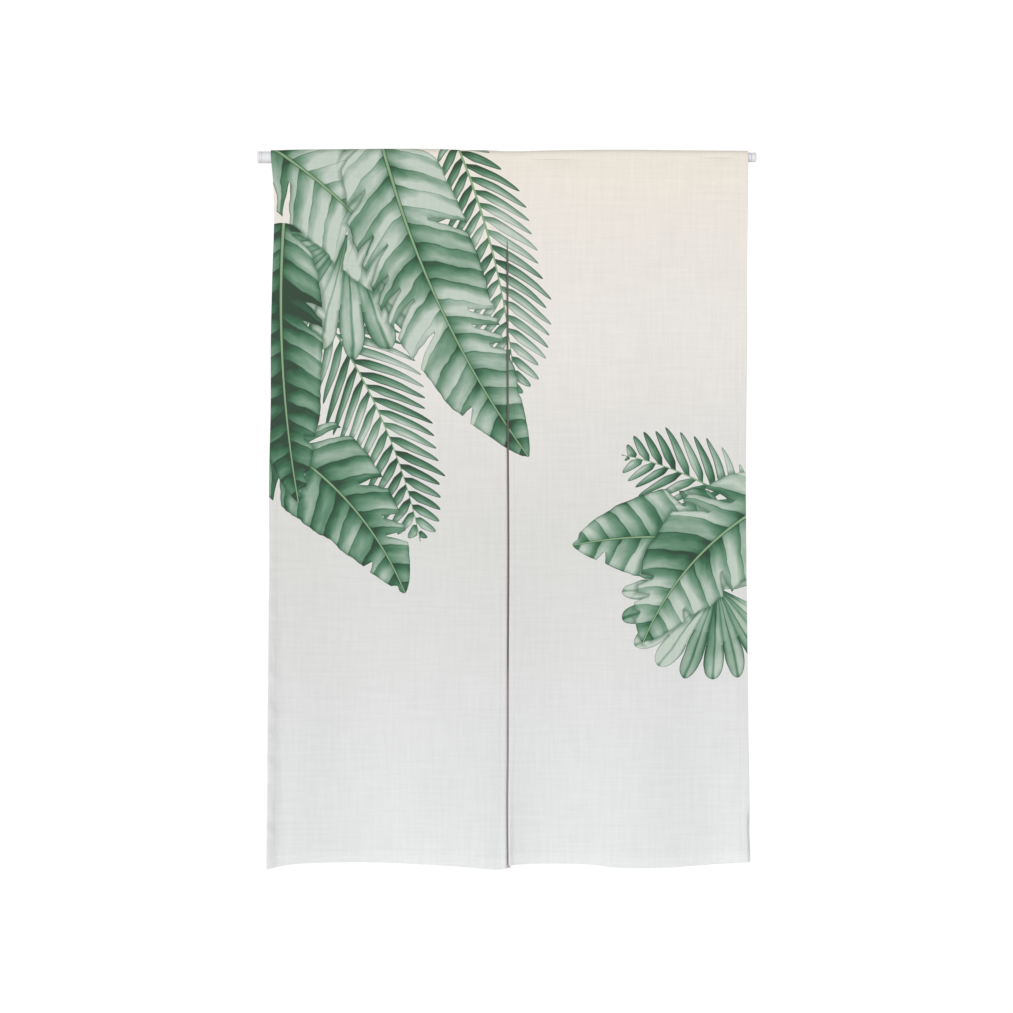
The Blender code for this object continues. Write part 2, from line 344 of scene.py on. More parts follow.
class HungCloth:
    """The cloth as a grid of rows, from the pocket's turned end over the rod down to the hem."""

    def __init__(self, cloth):
        """Works out the middle, front and back of the cloth from its property group."""
        self.set_columns()
        self.set_rows()
        self.hang()
        self.measure()
        self.thicken(cloth)

    def set_columns(self):
        side = [line * SIDE_HEM / HALF_WIDTH for line in HEM_LINES]
        slit = [1 - line * SLIT_HEM / HALF_WIDTH for line in reversed(HEM_LINES)]
        plain = list(np.linspace(side[-1], slit[0], PLAIN_COLUMNS + 1))[1:-1]
        right = (side + plain + slit)[::-1]
        left = side + plain + slit + [1.0] * len(LIP_LINES)
        self.share = np.array(left + right)[None, :]
        self.side = np.array([-1] * len(left) + [1] * len(right))[None, :]
        self.lip = np.zeros_like(self.share)
        self.lip[0, len(right) : len(left)] = LIP_LINES
        self.half = len(left)
        line = HEM_LINES.index(STITCH_LINE)
        self.side_stitches = line, len(left) + len(right) - 1 - line
        self.slit_stitches = len(right) - 1 - line, len(left) + line
        self.hem_stitches = line

    def set_rows(self):
        """Heights of the hanging rows, from just above the pocket's seam to the hem's edge."""
        seam = [POCKET_SEAM_Z - line for line in SEAM_LINES]
        above = list(np.linspace(seam[-1], SLIT_TOP_Z, ABOVE_SLIT_ROWS + 1))[1:]
        taper = list(np.linspace(SLIT_TOP_Z, SLIT_TOP_Z - SLIT_TAPER, TAPER_ROWS + 1))[1:]
        hem = [HEM_Z + line * BOTTOM_HEM for line in reversed(HEM_LINES)]
        plain = list(np.linspace(taper[-1], hem[0], PLAIN_ROWS + 1))[1:-1]
        self.heights = np.array(seam + above + taper + plain + hem)[:, None]
        self.slit_in_heights = len(seam) + len(above) - 1

    def pocket(self):
        """The pocket's rows: its turned end behind the seam, up the back, over and down the front."""
        x = across(self.side, self.share, 0 * MM)
        radius = rod_radius(x) + CLOTH_ON_ROD_GAP + CAD_HEM_THICKNESS / 2
        top = np.maximum(curve_through(TOP_EDGE, x / MM) * MM - CAD_CLOTH_THICKNESS / 2, radius)
        leaves_rod = np.arcsin(radius / -POCKET_SEAM_Z)
        meets = radius * np.cos(leaves_rod), -radius * np.sin(leaves_rod)
        # The turned end lies behind the front's own hems, its own hems facing them
        from_hem_edge = HEM_STEP[1] - self.share * HALF_WIDTH / SIDE_HEM
        in_side_hem = smooth(from_hem_edge / (HEM_STEP[1] - HEM_STEP[0]))
        behind = TURNED_END_BEHIND + in_side_hem * TURNED_HEM_BEHIND
        up = np.linspace(0, 1, STRAIGHT_ROWS + 1)[:, None]
        back_y = behind + up * (meets[0] - behind)
        back_z = POCKET_SEAM_Z + up * (meets[1] - POCKET_SEAM_Z)
        turn = np.linspace(0, 1, ROUND_ROWS + 1)[1:-1, None]
        angle = -leaves_rod + turn * (math.pi + 2 * leaves_rod)
        over_y = radius * np.cos(angle)
        over_z = np.where(np.sin(angle) < 0, radius, top) * np.sin(angle)
        first = self.heights[0]
        # The front's rows lie closer under the rod, where its tucks are
        down = np.linspace(0, 1, FRONT_ROWS + 1)[:-1, None] ** 1.5
        front_y = -(1 - down) * meets[0]
        front_z = meets[1] + down * (first - meets[1])
        turned = np.array([[TURNED_END_Z], [TURNED_END_Z + 0.5 * MM], [TURNED_END_Z + 2.5 * MM]])
        turned_z = turned + 0 * x
        self.turned_row = len(turned)
        y = np.concatenate([behind + 0 * turned_z, back_y, over_y, front_y])
        z = np.concatenate([turned_z, back_z, over_z, front_z])
        y = self.tuck_pocket(x, y, z)
        return np.stack([across(self.side, self.share, z) + self.lip_reach(z), y, z], -1)

    def lip_reach(self, z):
        """How far past the left half's edge its lip reaches. Above the slit it fills the slit's tip."""
        opened = smooth((SLIT_TOP_Z - z) / SLIT_TAPER)
        return self.lip * (opened * LIP_WIDTH + (1 - opened) * SLIT_TIP_WIDTH * 0.9)

    def lip_depth(self, z):
        """How far the lip turns behind the roll's end: a quarter of a circle, then straight."""
        opened = smooth((SLIT_TOP_Z - z) / SLIT_TAPER)
        turned = np.minimum(self.lip * LIP_WIDTH / LIP_TURN, 1)
        return LIP_TURN * opened * np.sqrt(1 - (1 - turned) ** 2)

    def tuck_pocket(self, x, y, z):
        """Makes the soft tucks across the pocket's front, which fade out above its seam."""
        outward = 0.0
        for middle, half_length, top, height, depth in ROD_TUCKS:
            below = top - z / MM
            along = bell((x / MM - middle) / half_length)
            fading = np.exp(-np.maximum(below - height, 0) / TUCK_FADE)
            outward = outward + depth * along * smooth(below / height) * fading
        outward = outward * smooth((z - POCKET_SEAM_Z) / (10 * MM))
        return y - np.where(y < 0, outward * MM, 0)

    def tail(self):
        """The rows below the pocket's seam, on the hanging folds."""
        down = (self.heights - POCKET_SEAM_Z) / (HEM_Z - POCKET_SEAM_Z)
        foot_x = across(self.side, self.share, HEM_Z)
        left_foot = curve_through(LEFT_HEM, foot_x / MM)
        right_foot = curve_through(RIGHT_HEM, foot_x / MM)
        foot = np.where(self.side < 0, left_foot, right_foot) * MM
        z = POCKET_SEAM_Z + down * (foot - POCKET_SEAM_Z)
        x = across(self.side, self.share, z)
        forward = fold_depth(x, z) + edge_depth(self.side, x, z)
        back = roll_depth(self.side, x, z) + self.lip_depth(z)
        return np.stack([x + self.lip_reach(z), back - forward, z], -1)

    def hang(self):
        pocket, tail = self.pocket(), self.tail()
        self.middle = np.concatenate([pocket, tail])
        self.seam_row = len(pocket) + len(SEAM_LINES) // 2
        self.slit_row = len(pocket) + self.slit_in_heights
        self.rows, self.columns = self.middle.shape[:2]
        normals = []
        for part in (slice(None, self.half), slice(self.half, None)):
            down = np.gradient(self.middle[:, part], axis=0)
            along = np.gradient(self.middle[:, part], axis=1)
            out = np.cross(down, along)
            normals.append(out / np.linalg.norm(out, axis=-1, keepdims=True))
        self.normal = np.concatenate(normals, axis=1)

    def measure(self):
        """Each point's place on the cloth laid flat: x across, and its length down from the seam."""
        steps = np.linalg.norm(np.diff(self.middle, axis=0), axis=-1)
        run = np.concatenate([np.zeros((1, self.columns)), np.cumsum(steps, axis=0)])
        self.flat_z = POCKET_SEAM_Z + run[self.seam_row] - run
        self.flat_x = self.middle[..., 0]
        self.cut_length = float(run[-1].mean())
        lowest = self.heights[-1, 0]
        from_hem = np.concatenate([np.full((self.rows - len(self.heights), 1), 1.0), self.heights - lowest])
        opened = self.middle[..., 2] <= SLIT_TOP_Z + 1e-9
        opened[: self.seam_row] = False
        self.from_side = self.share * HALF_WIDTH + 0 * self.flat_z
        self.from_slit = np.where(opened, (1 - self.share) * HALF_WIDTH, 1.0)
        self.lip_left = np.where(opened & (self.side < 0), (1 - self.lip) * LIP_WIDTH, 0.0)
        self.from_hem = from_hem + 0 * self.flat_z

    def thicken(self, cloth):
        """Sets the front and back off the middle: hems thicker behind, a trough along each stitch line."""
        hems, troughs, rounding = 0.0, 0.0, 1.0
        lines = ((self.from_side, SIDE_HEM), (self.from_slit, SLIT_HEM), (self.from_hem, BOTTOM_HEM))
        for off, width in lines:
            share = off / width
            hems = np.maximum(hems, smooth((HEM_STEP[1] - share) / (HEM_STEP[1] - HEM_STEP[0])))
            troughs = np.maximum(troughs, bell((share - STITCH_LINE) / STITCH_TROUGH_WIDTH))
            free = off + self.lip_left if width == SLIT_HEM else off
            rounding = np.minimum(rounding, np.clip(free / cloth.edge_rounding, 0, 1))
        hems = hems * smooth(1 - 2 * self.lip)
        seam = np.abs(np.arange(self.rows) - self.seam_row)[:, None]
        troughs = np.maximum(troughs, bell(seam / SEAM_TROUGH_ROWS))
        rounding = np.maximum(np.sqrt(1 - (1 - rounding) ** 2), 0.2)
        front = cloth.thickness / 2 - cloth.stitch_trough * troughs
        back = cloth.thickness / 2 + (cloth.hem_thickness - cloth.thickness) * hems
        self.bottom = smooth((HEM_STEP[1] * BOTTOM_HEM - self.from_hem) / (2 * MM))
        opened = smooth((SLIT_TOP_Z - self.middle[..., 2]) / SLIT_TAPER)
        # Mask of the painted shade on the slit's turned edges and on the lip behind them
        self.inner = opened * smooth(1.3 - self.from_slit / cloth.slit_shade_width)
        self.front = self.middle + self.normal * (front * rounding)[..., None]
        self.back = self.middle - self.normal * (back * rounding)[..., None]


def leaf_places(kind, x, z):
    """Where points of the flat cloth lie on the leaves of one layer: along, across, sizes and tone."""
    leaves = [leaf[1:] for leaf in LEAVES if leaf[0] == kind]
    place = np.zeros(x.shape + (3,))
    size = np.ones(x.shape + (3,))
    taken = np.zeros(x.shape, bool)
    for foot_x, foot_z, heading, length, half_width, bend, tone in leaves:
        turn, curving = math.radians(heading), math.radians(bend) / (length * MM)
        off_x, off_z = x - foot_x * MM, z - foot_z * MM
        ahead = off_x * math.cos(turn) + off_z * math.sin(turn)
        aside = off_z * math.cos(turn) - off_x * math.sin(turn)
        if curving:
            angle = np.arctan2(curving * ahead, 1 - curving * aside)
            aside = (1 - np.hypot(curving * ahead, 1 - curving * aside)) / curving
            ahead = angle / curving
        start = -length * MM if kind == "fan" else 0
        near = (ahead > start - LEAF_MARGIN) & (ahead < length * MM + LEAF_MARGIN)
        near &= np.abs(aside) < half_width * MM + LEAF_MARGIN
        if (near & taken).any():
            raise RuntimeError(f"two leaves of the layer {kind!r} touch near {foot_x}, {foot_z}")
        taken |= near
        place[near] = np.stack([ahead, aside, np.ones_like(x)], -1)[near]
        size[near] = (length * MM, half_width * MM, tone)
    return place, size


def add_point_values(mesh, name, values):
    layer = mesh.attributes.new(name, "FLOAT_VECTOR", "POINT")
    layer.data.foreach_set("vector", np.ascontiguousarray(values, np.float32).ravel())


def mark_print(mesh, flat_x, flat_z, outward, bottom, inner):
    """Writes what the printed material reads: the place on the flat cloth, and on each layer's leaves."""
    add_point_values(mesh, "cloth_place", np.stack([flat_x, flat_z, outward], -1))
    # The bottom hem's share, and the mask of the painted shade inside the slit
    add_point_values(mesh, "cloth_hem_and_slit_shade", np.stack([bottom, inner, 0 * inner], -1))
    for kind in LAYER_ORDER:
        place, size = leaf_places(kind, flat_x, flat_z)
        add_point_values(mesh, kind.replace(" ", "_") + "_place", place)
        add_point_values(mesh, kind.replace(" ", "_") + "_size", size)


def link(mesh, name, material):
    """Makes an object of a mesh in the row's one body, with its material."""
    made = bpy.data.objects.new(name, mesh)
    bpy.context.scene.collection.objects.link(made)
    mesh.materials.append(material)
    mesh.shade_smooth()
    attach(made, "root")
    return made


def grid_faces(corner):
    """Four corners for each cell of a grid of point numbers."""
    cells = [corner[:-1, :-1], corner[1:, :-1], corner[1:, 1:], corner[:-1, 1:]]
    return np.stack(cells, -1)


def cloth_mesh(hung):
    """Joins the front and the back of the hung cloth round all its free edges."""
    rows, columns, half, slit_row = hung.rows, hung.columns, hung.half, hung.slit_row
    number = np.arange(rows * columns).reshape(rows, columns)
    uncut = np.ones((rows - 1, columns - 1), bool)
    uncut[slit_row:, half - 1] = False
    front_faces = grid_faces(number)[uncut]
    back_faces = front_faces[:, ::-1] + number.size

    # Bake layout: the front fills one side of the square, the back the other
    gap, rim_width = 0.012, 0.003
    flat_x = hung.flat_x - hung.flat_x.min() + np.where(hung.side > 0, gap, 0)
    flat_z = hung.flat_z - hung.flat_z.min()
    front_scale, back_scale, border = 0.97 / flat_z.max(), 0.40, 0.012
    spread = np.stack([flat_x, flat_z], -1)
    front_uv = border + spread * front_scale
    back_uv = spread * back_scale
    back_uv = back_uv + (front_uv[..., 0].max() + 2 * border, border)

    rims = [
        # edge numbers in order, and the way out of the front's outline
        (number[:, 0][::-1], (-1, 0)),
        (number[:, -1], (1, 0)),
        (number[0], (0, 1)),
        (number[-1, :half][::-1], (0, -1)),
        (number[-1, half:][::-1], (0, -1)),
        (number[slit_row:, half - 1], (1, 0)),
        (number[slit_row:, half][::-1], (-1, 0)),
        (number[slit_row, half - 1 : half + 1][::-1], (0, -1)),
    ]
    rim_faces, rim_uvs = [], []
    flat_uv = front_uv.reshape(-1, 2)
    for edge, out in rims:
        start, end = edge[:-1], edge[1:]
        rim_faces.append(np.stack([start, end, end + number.size, start + number.size], -1))
        over = np.array(out) * rim_width
        corners = [flat_uv[start], flat_uv[end], flat_uv[end] + over, flat_uv[start] + over]
        rim_uvs.append(np.stack(corners, 1))
    faces = np.concatenate([front_faces, back_faces, *rim_faces])
    uvs = [flat_uv[front_faces], back_uv.reshape(-1, 2)[back_faces - number.size], *rim_uvs]

    mesh = bpy.data.meshes.new("noren_cloth_sheet")
    points = np.concatenate([hung.front.reshape(-1, 3), hung.back.reshape(-1, 3)])
    mesh.from_pydata(points.tolist(), [], faces.tolist())
    bake = mesh.uv_layers.new(name="OFBake")
    bake.data.foreach_set("uv", np.concatenate(uvs).astype(np.float32).ravel())
    kept = (hung.flat_x, hung.flat_z, hung.bottom, hung.inner)
    flat_x, flat_z, bottom, inner = (np.concatenate([values.ravel()] * 2) for values in kept)
    mark_print(mesh, flat_x, flat_z, np.repeat([1.0, 0.0], number.size), bottom, inner)
    return mesh


def stitch_spots(points, normals, flats, pitch, inset):
    """Middles, directions and normals of stitches at an even pitch along a line of grid points."""
    steps = np.linalg.norm(np.diff(points, axis=0), axis=1)
    run = np.concatenate([[0], np.cumsum(steps)])
    at = np.arange(inset, run[-1] - inset, pitch)

    def between(values):
        return np.stack([np.interp(at, run, values[:, k]) for k in range(values.shape[1])], -1)

    middle, normal = between(points), between(normals)
    ahead = np.stack([np.interp(at + 0.5 * pitch, run, points[:, k]) for k in range(3)], -1)
    behind = np.stack([np.interp(at - 0.5 * pitch, run, points[:, k]) for k in range(3)], -1)
    along = ahead - behind
    along /= np.linalg.norm(along, axis=1, keepdims=True)
    normal /= np.linalg.norm(normal, axis=1, keepdims=True)
    return middle, along, normal, between(flats)


def stitch_mesh(hung, stitching):
    """Every stitch of the pocket's seam and the hems, on both faces, as one mesh of short threads."""
    flats = np.stack([hung.flat_x, hung.flat_z], -1)
    hem_row = hung.rows - 1 - hung.hem_stitches
    left, right = slice(0, hung.half - len(LIP_LINES)), slice(hung.half, None)
    below_seam, below_slit = slice(hung.seam_row, None), slice(hung.slit_row, None)
    lines = [(below_seam, column, True, True) for column in hung.side_stitches]
    lines += [(below_slit, column, True, True) for column in hung.slit_stitches]
    lines += [
        # rows, columns, whether it shows on the front, on the back
        (hem_row, left, True, True),
        (hem_row, right, True, True),
        (hung.seam_row, slice(None), True, False),
        (hung.turned_row, slice(None), True, False),
    ]
    spots = []
    for rows, columns, on_front, on_back in lines:
        for face, shown, way in ((hung.front, on_front, 1), (hung.back, on_back, -1)):
            if shown:
                found = stitch_spots(
                    face[rows, columns],
                    way * hung.normal[rows, columns],
                    flats[rows, columns],
                    stitching.pitch,
                    stitching.pitch,
                )
                spots.append((*found, np.full(len(found[0]), max(way, 0.0))))
    middle, along, normal, flat, outward = (np.concatenate(part) for part in zip(*spots))
    beside = np.cross(normal, along)

    sides, radius = stitching.thread_sides, stitching.thread / 2
    rings = (
        # share of the length from the middle, lift, share of the radius
        (-0.5, -1.1, 0.5),
        (-0.28, 0.0, 1.0),
        (0.28, 0.0, 1.0),
        (0.5, -1.1, 0.5),
    )
    points = []
    for reach, lift, fullness in rings:
        for k in range(sides):
            angle = 2 * math.pi * k / sides
            out = beside * math.cos(angle) + normal * math.sin(angle)
            centre = middle + along * (reach * stitching.length) + normal * (radius * (0.4 + lift))
            points.append(centre + out * (radius * fullness))
    points = np.stack(points, 1)
    each = len(rings) * sides
    quads = [
        (r * sides + k, r * sides + (k + 1) % sides, (r + 1) * sides + (k + 1) % sides, (r + 1) * sides + k)
        for r in range(len(rings) - 1)
        for k in range(sides)
    ]
    ends = [tuple(range(sides))[::-1], tuple(range(each - sides, each))]
    start = (np.arange(len(points)) * each)[:, None]
    faces = (start + np.array(quads).reshape(1, -1)).reshape(-1, 4).tolist()
    for end in ends:
        faces += (start + np.array(end)[None, :]).tolist()
    mesh = bpy.data.meshes.new("noren_stitching")
    mesh.from_pydata(points.reshape(-1, 3).tolist(), [], faces)
    repeated = [np.repeat(values, each) for values in (flat[:, 0], flat[:, 1], outward)]
    mark_print(mesh, *repeated, np.ones_like(repeated[0]), np.zeros_like(repeated[0]))
    return mesh


class Field:
    """A number or colour that a shader works out at each point, used in ordinary arithmetic."""

    def __init__(self, socket):
        self.socket = socket
        self.tree = socket.id_data

    def __add__(self, other):
        return calculate("ADD", self, other)

    def __radd__(self, other):
        return calculate("ADD", other, self)

    def __sub__(self, other):
        return calculate("SUBTRACT", self, other)

    def __rsub__(self, other):
        return calculate("SUBTRACT", other, self)

    def __mul__(self, other):
        return calculate("MULTIPLY", self, other)

    def __rmul__(self, other):
        return calculate("MULTIPLY", other, self)

    def __truediv__(self, other):
        return calculate("DIVIDE", self, other)

    def __rtruediv__(self, other):
        return calculate("DIVIDE", other, self)

    def __pow__(self, other):
        return calculate("POWER", self, other)

    def __abs__(self):
        return calculate("ABSOLUTE", self)


def feed(slot, value):
    if isinstance(value, Field):
        slot.id_data.links.new(value.socket, slot)
    else:
        slot.default_value = value


def calculate(operation, *values, clamp=False):
    tree = next(value.tree for value in values if isinstance(value, Field))
    node = tree.nodes.new("ShaderNodeMath")
    node.operation = operation
    node.use_clamp = clamp
    for slot, value in zip(node.inputs, values):
        feed(slot, value)
    return Field(node.outputs[0])


def clamped(value):
    return calculate("ADD", value, 0.0, clamp=True)


def ramp_up(value, low, high):
    """0 below low, 1 above high, and smooth between; with low above high it falls instead."""
    node = value.tree.nodes.new("ShaderNodeMapRange")
    node.interpolation_type = "SMOOTHSTEP"
    for name, given in (("Value", value), ("From Min", low), ("From Max", high)):
        feed(node.inputs[name], given)
    return Field(node.outputs[0])


def point(x, y, z):
    tree = next(value.tree for value in (x, y, z) if isinstance(value, Field))
    node = tree.nodes.new("ShaderNodeCombineXYZ")
    for slot, value in zip(node.inputs, (x, y, z)):
        feed(slot, value)
    return Field(node.outputs[0])


def noise(where, scale, detail=2.0, roughness=0.5):
    node = where.tree.nodes.new("ShaderNodeTexNoise")
    feed(node.inputs["Vector"], where)
    node.inputs["Scale"].default_value = scale
    node.inputs["Detail"].default_value = detail
    node.inputs["Roughness"].default_value = roughness
    return Field(node.outputs[0])


def chance(value):
    """An even random number from 0 to 1 for each whole value."""
    node = value.tree.nodes.new("ShaderNodeTexWhiteNoise")
    node.noise_dimensions = "1D"
    feed(node.inputs["W"], value)
    return Field(node.outputs["Value"])


def mixed(share, first, second, blend="MIX"):
    """A colour between two colours."""
    tree = next(value.tree for value in (share, first, second) if isinstance(value, Field))
    node = tree.nodes.new("ShaderNodeMix")
    node.data_type = "RGBA"
    node.blend_type = blend
    for slot, value in ((0, share), (6, first), (7, second)):
        feed(node.inputs[slot], value if isinstance(value, Field) or slot == 0 else (*value, 1))
    return Field(node.outputs[2])


def colour_ramp(value, stops):
    node = value.tree.nodes.new("ShaderNodeValToRGB")
    ramp = node.color_ramp
    ramp.elements[0].position, ramp.elements[1].position = stops[0][0], stops[-1][0]
    for place, _ in stops[1:-1]:
        ramp.elements.new(place)
    for element, (_, colour) in zip(ramp.elements, stops):
        element.color = (*colour, 1)
    feed(node.inputs[0], value)
    return Field(node.outputs[0])


def stored(tree, name):
    """The three values that a mesh keeps at each point under a name."""
    node = tree.nodes.new("ShaderNodeAttribute")
    node.attribute_name = name
    split = tree.nodes.new("ShaderNodeSeparateXYZ")
    tree.links.new(node.outputs["Vector"], split.inputs[0])
    return [Field(socket) for socket in split.outputs]


def lowest(first, second):
    return calculate("MINIMUM", first, second)


def highest(first, second):
    return calculate("MAXIMUM", first, second)


def leaf_number(length):
    """A whole number that is the leaf's own, its length in millimetres, to draw chances from."""
    return calculate("ROUND", length / MM)


def leaf_paint(inside, dark, seeds, tone, print_look):
    """Watercolour in a leaf: a wash that pools and fades, darker by dark, with a fine dark rim.

    inside is the distance from the leaf's edge, negative outside it. seeds is where on the leaf
    the washes are read.
    """
    pool = noise(seeds, 14, 2, 0.5)
    bloom = noise(seeds, 75, 3, 0.55)
    wash = tone + (pool - 0.5) * 1.15 + (bloom - 0.5) * 0.30 - dark
    wash = wash - ramp_up(inside, 9 * MM, 0 * MM) * 0.12
    wash = print_look.wash_middle + (wash - print_look.wash_middle) * print_look.wash_contrast
    paint = colour_ramp(
        clamped(wash),
        (
            (0.0, print_look.deepest),
            (0.22, print_look.deep),
            (0.50, print_look.middle),
            (0.76, print_look.soft),
            (1.0, print_look.pale),
        ),
    )
    rim = ramp_up(inside, 2.2 * MM, 0.7 * MM) * (0.45 + 0.45 * ramp_up(pool, 0.62, 0.4))
    return mixed(rim, paint, print_look.rim)


def paddle_leaf(along, off_axis, length, half_width, tone, print_look):
    """A broad paddle leaf: a pale midrib, slanting side veins and some tears from the margin."""
    off, side = abs(off_axis), calculate("SIGN", off_axis)
    number = leaf_number(length)
    wobble = noise(point(along, off_axis, number * 0.31), 22, 2) - 0.5
    share = clamped(along / length)
    outline = 2.21 * share**0.45 * (1 - share) ** 0.75
    margin = half_width * outline * (1.0 + 0.30 * wobble)
    vein = (along - off * 0.5 - off * off * 1.8) / print_look.vein_pitch + side * 0.27 + wobble * 0.5
    seeds = point(vein * print_look.vein_pitch, off_axis * 0.4, number * 0.31)
    cell = calculate("FLOOR", vein)
    within = vein - cell
    lot = cell * 3 + side + number * 5
    torn = ramp_up(chance(lot), 0.60, 0.62)
    out = off / highest(margin, 1 * MM)
    depth = 0.30 + 0.35 * chance(lot + 900)
    open_share = torn * 0.30 * clamped((out - depth) / (1 - depth)) ** 0.8
    tear = (abs(within - 0.5) - open_share) * print_look.vein_pitch
    tear = tear + (1 - ramp_up(open_share, 0.0, 0.02)) * 20 * MM
    inside = lowest(lowest(margin - off, tear), lowest(along, length - along))
    dark = calculate("EXPONENT", off / (-16 * MM)) * 0.34
    dark = dark + ramp_up(within, 0.75, 0.0) * 0.26 - 0.10
    dark = dark + ramp_up(abs(within - 0.5), 0.44, 0.5) * 0.18 * ramp_up(out, 1.0, 0.6)
    paint = leaf_paint(inside, dark, seeds, tone, print_look)
    rib = (1.0 - 0.6 * share) * print_look.rib_width
    beside = ramp_up(off, rib * 2.1, rib * 1.2)
    paint = mixed(beside * 0.75, paint, print_look.deepest)
    paint = mixed(ramp_up(off, rib * 1.15, rib * 0.7), paint, print_look.stem)
    return inside, paint


def feather_leaf(along, off_axis, length, half_width, tone, print_look):
    """A feather leaf: slim leaflets slant forward from both sides of a thin stem."""
    off, side = abs(off_axis), calculate("SIGN", off_axis)
    number = leaf_number(length)
    wobble = noise(point(along, off_axis, number * 0.47), 14, 1) - 0.5
    root = along - off * 0.8 - off * off * 2.4 + wobble * 9 * MM
    seeds = point(root, off_axis * 0.4, number * 0.47)
    share = clamped(root / length)
    reach = highest(half_width * 1.95 * share**0.4 * (1 - share) ** 0.6, 1 * MM)
    out = off / reach
    leaflet = root / print_look.leaflet_pitch + side * 0.25
    cell = calculate("FLOOR", leaflet)
    within = leaflet - cell - 0.5
    short = 0.82 + 0.18 * chance(cell * 3 + side + number * 5)
    out = out / short
    slim = 0.43 * calculate("SQRT", clamped(1 - out * out)) * (0.45 + 0.55 * ramp_up(out, 0.0, 0.3))
    inside = lowest((slim - abs(within)) * print_look.leaflet_pitch * 0.85, (1 - out) * reach)
    stem = ramp_up(along, length, length * 0.2) * 1.2 * MM + 0.6 * MM - off
    stem = lowest(stem, lowest(along, length - along))
    dark = ramp_up(within, 0.4, -0.4) * 0.34 - 0.16 + ramp_up(out, 0.5, 0.0) * 0.22
    dark = dark + ramp_up(abs(within), 0.05, 0.0) * 0.18
    paint = leaf_paint(inside, dark, seeds, tone, print_look)
    paint = mixed(ramp_up(stem, -0.4 * MM, 0.4 * MM), paint, print_look.stem)
    return highest(inside, stem), paint


def fan_leaf(along, off_axis, length, half_width, tone, print_look):
    """A round pleated fan leaf, its rim cut into pointed fingers, on half_width as its radius."""
    distance = calculate("SQRT", along * along + off_axis * off_axis)
    angle = calculate("ARCTAN2", off_axis, along)
    number = leaf_number(length)
    wobble = noise(point(along, off_axis, number * 0.59), 16, 2) - 0.5
    radius = half_width * (0.86 + 0.14 * calculate("COSINE", angle)) * (1.0 + 0.16 * wobble)
    out = distance / radius
    pleat = angle / math.radians(print_look.pleat_degrees) + 0.5 + wobble * 0.25
    seeds = point(distance * 0.4, pleat * 30 * MM, number * 0.59)
    cell = calculate("FLOOR", pleat)
    within = pleat - cell - 0.5
    split = 0.46 + 0.22 * chance(cell + number * 40)
    finger = clamped((out - split) / (1.0 - split))
    slim = 0.51 * calculate("SQRT", clamped(1 - finger ** 2.4))
    width = distance * math.radians(print_look.pleat_degrees)
    inside = (slim - abs(within)) * width + ramp_up(finger, 0.02, 0.0) * 20 * MM
    inside = lowest(inside, radius - distance)
    inside = lowest(inside, (math.radians(118) - abs(angle)) * distance)
    dark = ramp_up(abs(within), 0.5, 0.30) * -0.16 + ramp_up(abs(within), 0.10, 0.0) * 0.26
    dark = dark + ramp_up(out, 0.55, 0.0) * 0.30 + ramp_up(within, 0.1, -0.1) * 0.10
    paint = leaf_paint(inside, dark, seeds, tone, print_look)
    return inside, paint


LEAF_KINDS = {"paddle": paddle_leaf, "feather": feather_leaf, "fan": fan_leaf}


def leaf_group(kind, print_look):
    """A node group that paints one kind of leaf from a point's place on it.

    It gives the distance inside the leaf's outline, negative outside it, and the paint.
    """
    group = bpy.data.node_groups.new(kind + " leaf", "ShaderNodeTree")
    for name in ("Along", "Across", "Length", "Half Width", "Tone"):
        group.interface.new_socket(name, in_out="INPUT", socket_type="NodeSocketFloat")
    group.interface.new_socket("Inside", in_out="OUTPUT", socket_type="NodeSocketFloat")
    group.interface.new_socket("Paint", in_out="OUTPUT", socket_type="NodeSocketColor")
    given = group.nodes.new("NodeGroupInput")
    result = group.nodes.new("NodeGroupOutput")
    inside, paint = LEAF_KINDS[kind](*[Field(socket) for socket in given.outputs[:5]], print_look)
    feed(result.inputs["Inside"], inside)
    feed(result.inputs["Paint"], paint)
    return group


def new_material(name, roughness):
    material = bpy.data.materials.new(name)
    material.use_nodes = True
    shader = material.node_tree.nodes["Principled BSDF"]
    shader.inputs["Roughness"].default_value = roughness
    return material, shader


def add_bump(shader, height, distance, strength=1.0):
    bump = shader.id_data.nodes.new("ShaderNodeBump")
    bump.inputs["Distance"].default_value = distance
    bump.inputs["Strength"].default_value = strength
    feed(bump.inputs["Height"], height)
    feed(shader.inputs["Normal"], Field(bump.outputs[0]))


